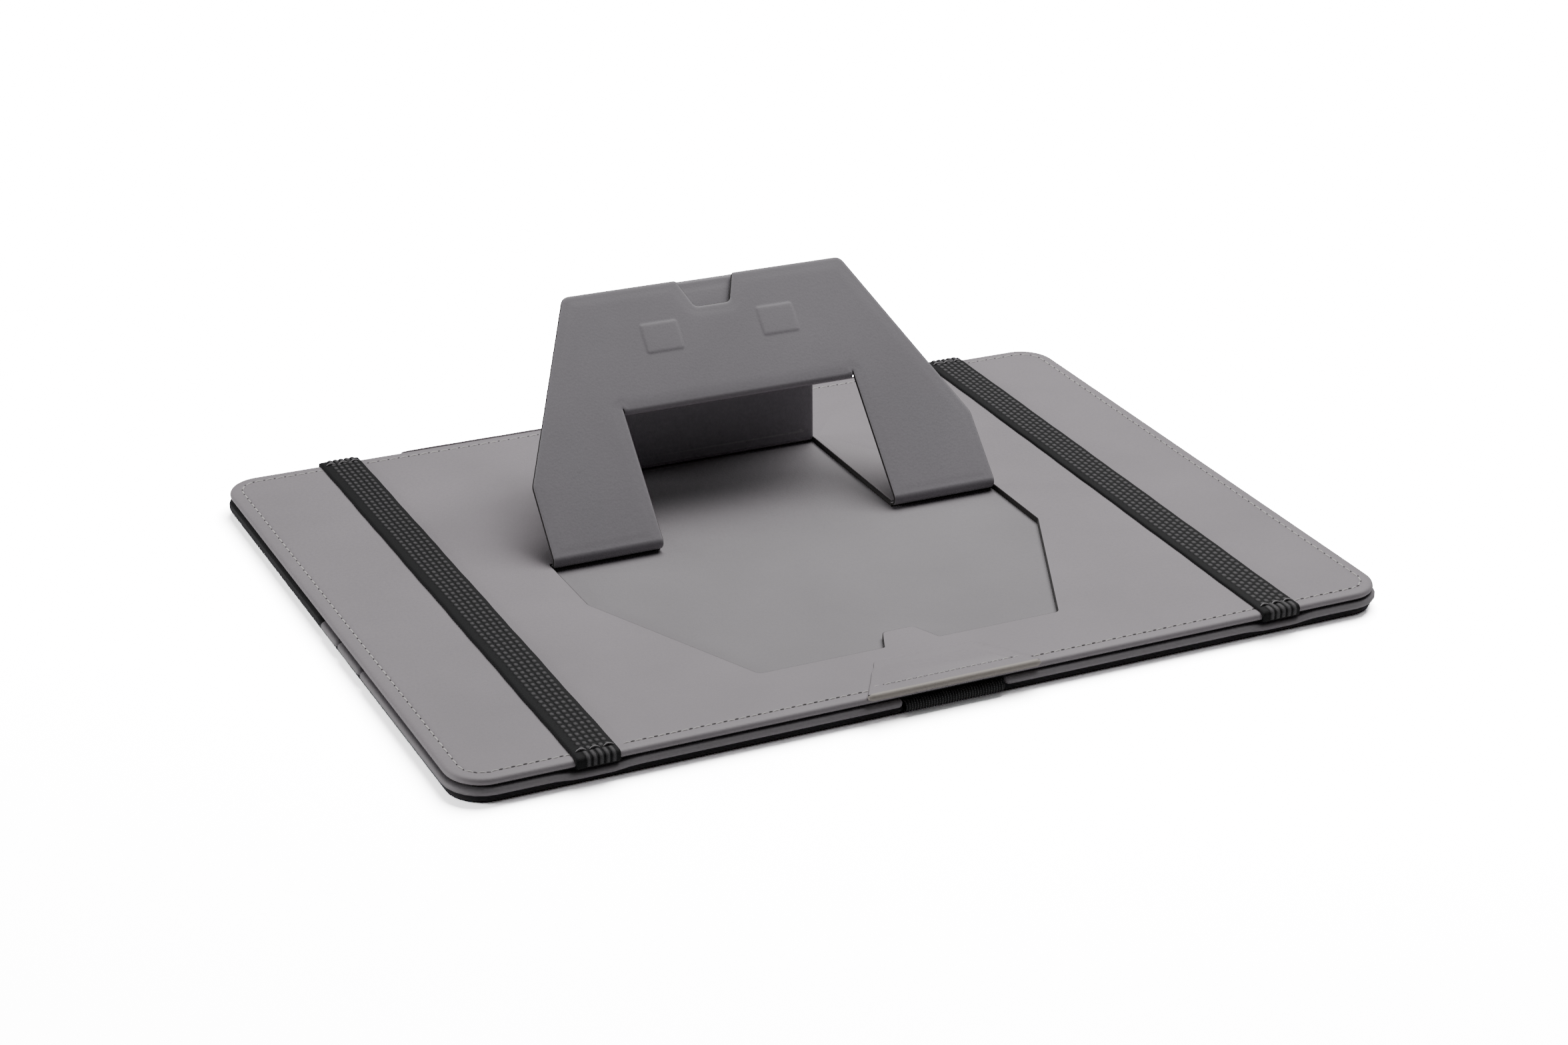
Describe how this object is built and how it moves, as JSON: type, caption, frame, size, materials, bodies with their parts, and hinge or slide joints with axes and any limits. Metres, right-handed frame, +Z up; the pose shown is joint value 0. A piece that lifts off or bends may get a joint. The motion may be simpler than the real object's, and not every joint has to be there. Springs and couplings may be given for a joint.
{
  "type": "tablet keyboard case",
  "caption": "Closed folio case for a tablet and keyboard: two padded panels joined by a spine, elastic bands, and a folding stand raised out of the top panel.",
  "frame": {"origin": "middle of the closed case's footprint, on the surface it lies on", "axes": "+Z up, +X along the case's width to the right, -Y towards the near edge with the pen loop and the closure patch; the spine is at +Y"},
  "size_m": [0.34, 0.2422, 0.0793],
  "materials": {
    "grey_leather": "fine-grained matt artificial leather",
    "stand_leather": "fine-grained matt artificial leather",
    "dark_leather": "matt artificial leather",
    "lining": "brushed microfibre",
    "board": "dense fibre board, black cut edge",
    "elastic": "ribbed woven elastic",
    "thread": "bonded sewing thread",
    "steel": "plated steel and magnet"
  },
  "bodies": {
    "pocket_panel": {"lower_skin": "dark_leather", "lower_board": "board", "lower_lining": "lining", "pocket_large": "grey_leather", "pocket_middle": "grey_leather", "pocket_small": "grey_leather", "pen_loop": "elastic"},
    "spine": {"spine_leather": "grey_leather", "spine_board": "board", "lower_hinge": "grey_leather", "upper_hinge": "grey_leather"},
    "stand_panel": {"top_skin": "grey_leather", "top_board": "board", "recess_floor": "grey_leather", "top_lining": "lining", "band_left": "elastic", "band_right": "elastic", "closure_patch": "grey_leather", "perimeter_seam": "thread", "band_seams": "thread"},
    "stand_plate": {"plate_front": "stand_leather", "plate_board": "board", "plate_back": "stand_leather", "plate_magnets": "steel", "foot_fold_left": "stand_leather", "foot_fold_right": "stand_leather"},
    "stand_flap": {"flap_front": "stand_leather", "flap_board": "board", "flap_back": "stand_leather", "flap_keepers": "steel", "window_fold": "stand_leather", "top_fold": "stand_leather"},
    "stand_strut": {"strut_front": "stand_leather", "strut_board": "board", "strut_back": "stand_leather", "back_fold": "stand_leather"}
  },
  "joints": [
    {"name": "spine_fold", "type": "hinge", "parent": "pocket_panel", "child": "spine", "pos_m": [0, 0.12044, 0.00066], "axis": [-1, 0, 0], "range_deg": [0, 90], "deforming": ["lower_hinge"]},
    {"name": "panel_fold", "type": "hinge", "parent": "spine", "child": "stand_panel", "pos_m": [0, 0.12044, 0.00824], "axis": [-1, 0, 0], "range_deg": [0, 90], "deforming": ["upper_hinge"]},
    {"name": "stand_fold", "type": "hinge", "parent": "stand_panel", "child": "stand_plate", "pos_m": [0, 0.0075, 0.0092], "axis": [1, 0, 0], "range_deg": [0, 135], "deforming": ["foot_fold_left", "foot_fold_right"]},
    {"name": "flap_fold", "type": "hinge", "parent": "stand_plate", "child": "stand_flap", "pos_m": [0, 0.04285, 0.04455], "axis": [1, 0, 0], "range_deg": [-180, 0], "deforming": ["window_fold", "top_fold"]},
    {"name": "strut_fold", "type": "hinge", "parent": "stand_panel", "child": "stand_strut", "pos_m": [0, 0.0735, 0.0086], "axis": [1, 0, 0], "range_deg": [0, 94.41], "deforming": ["back_fold"]}
  ],
  "couplings": [
    {"joint": "panel_fold", "follows": "spine_fold", "ratio": 1},
    {"joint": "flap_fold", "follows": "stand_fold", "ratio": -1.3333},
    {"joint": "strut_fold", "follows": "stand_fold", "ratio": 0.69929}
  ]
}
